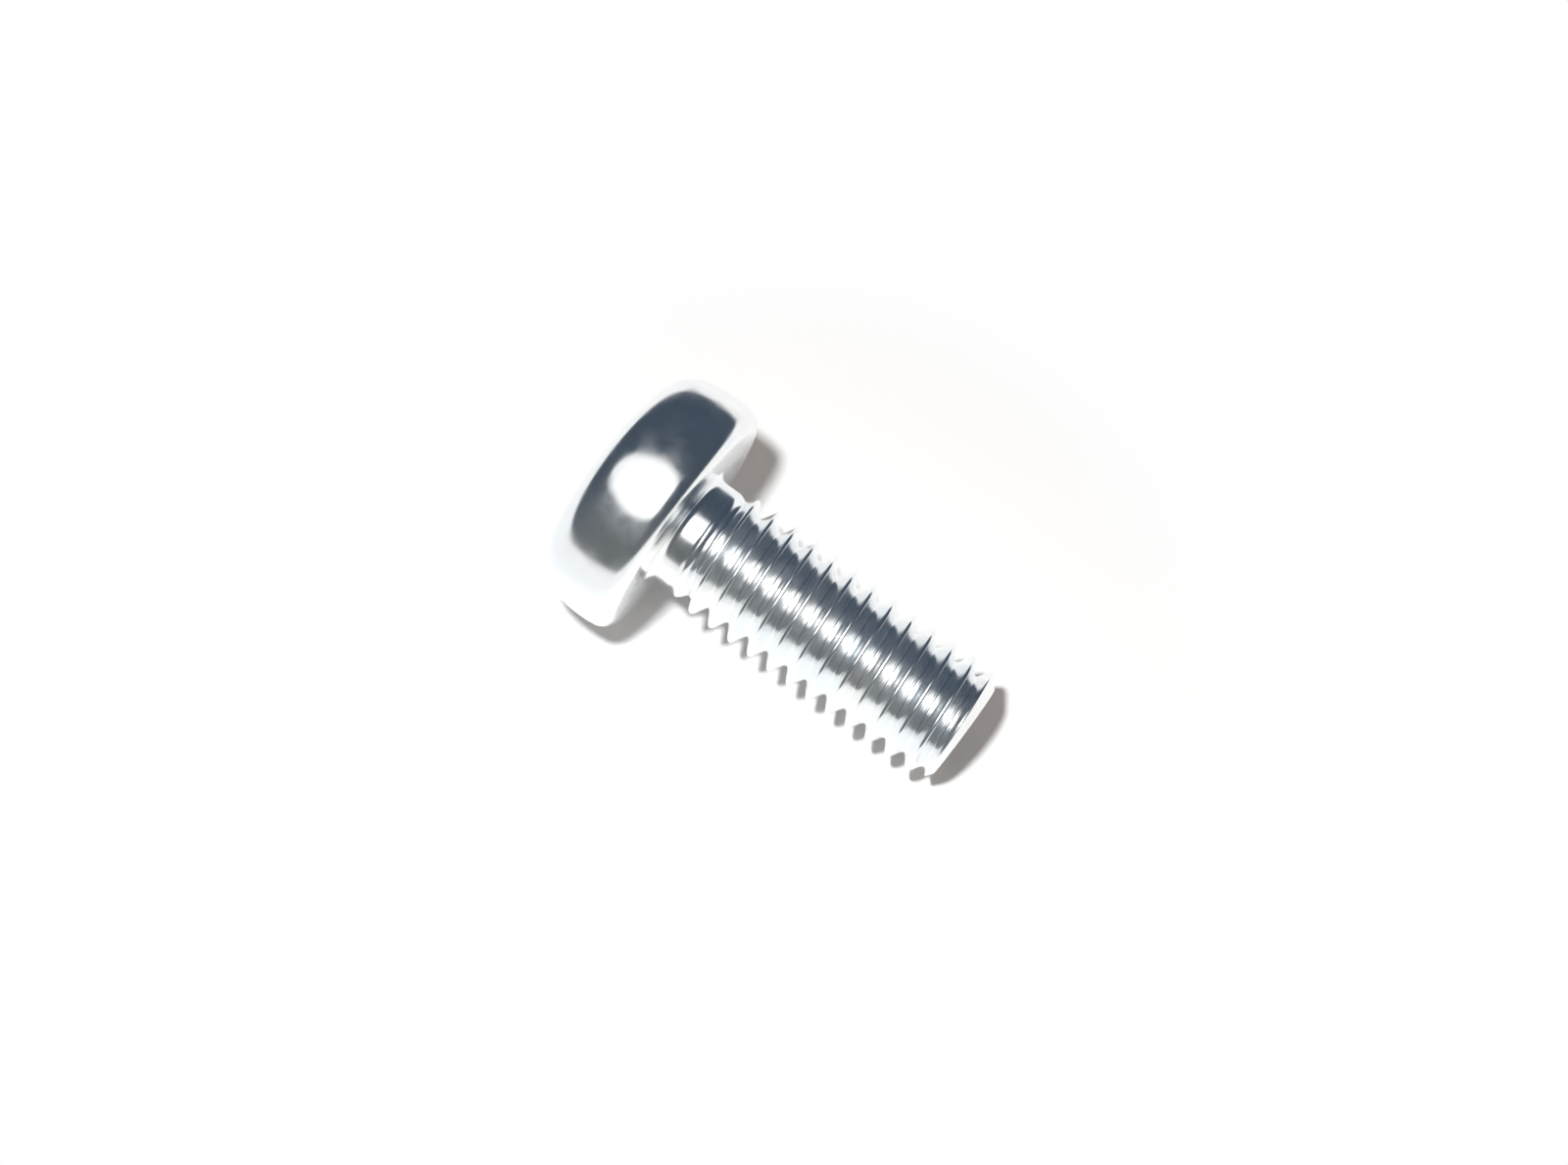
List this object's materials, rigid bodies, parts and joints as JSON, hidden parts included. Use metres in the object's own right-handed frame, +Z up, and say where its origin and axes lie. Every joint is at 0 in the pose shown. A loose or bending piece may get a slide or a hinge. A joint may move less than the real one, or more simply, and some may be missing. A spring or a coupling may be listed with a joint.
{
  "type": "machine screw",
  "caption": "Short M4 pan-head machine screw with a cross recess, a plain neck and a right-hand thread down to its bevelled flat end, lying on its side.",
  "frame": {"origin": "on the surface that the screw lies on, at the middle of the screw's outline seen from above", "axes": "+Z up from that surface; +X along the screw as seen from above, from the head towards the flat end of the shank, which dips about 11 degrees; +Y across the screw"},
  "size_m": [0.0134, 0.0078, 0.0079],
  "materials": {
    "zinc_plate": "bright zinc plating, polished"
  },
  "bodies": {
    "root": {"screw": "zinc_plate"}
  },
  "joints": []
}
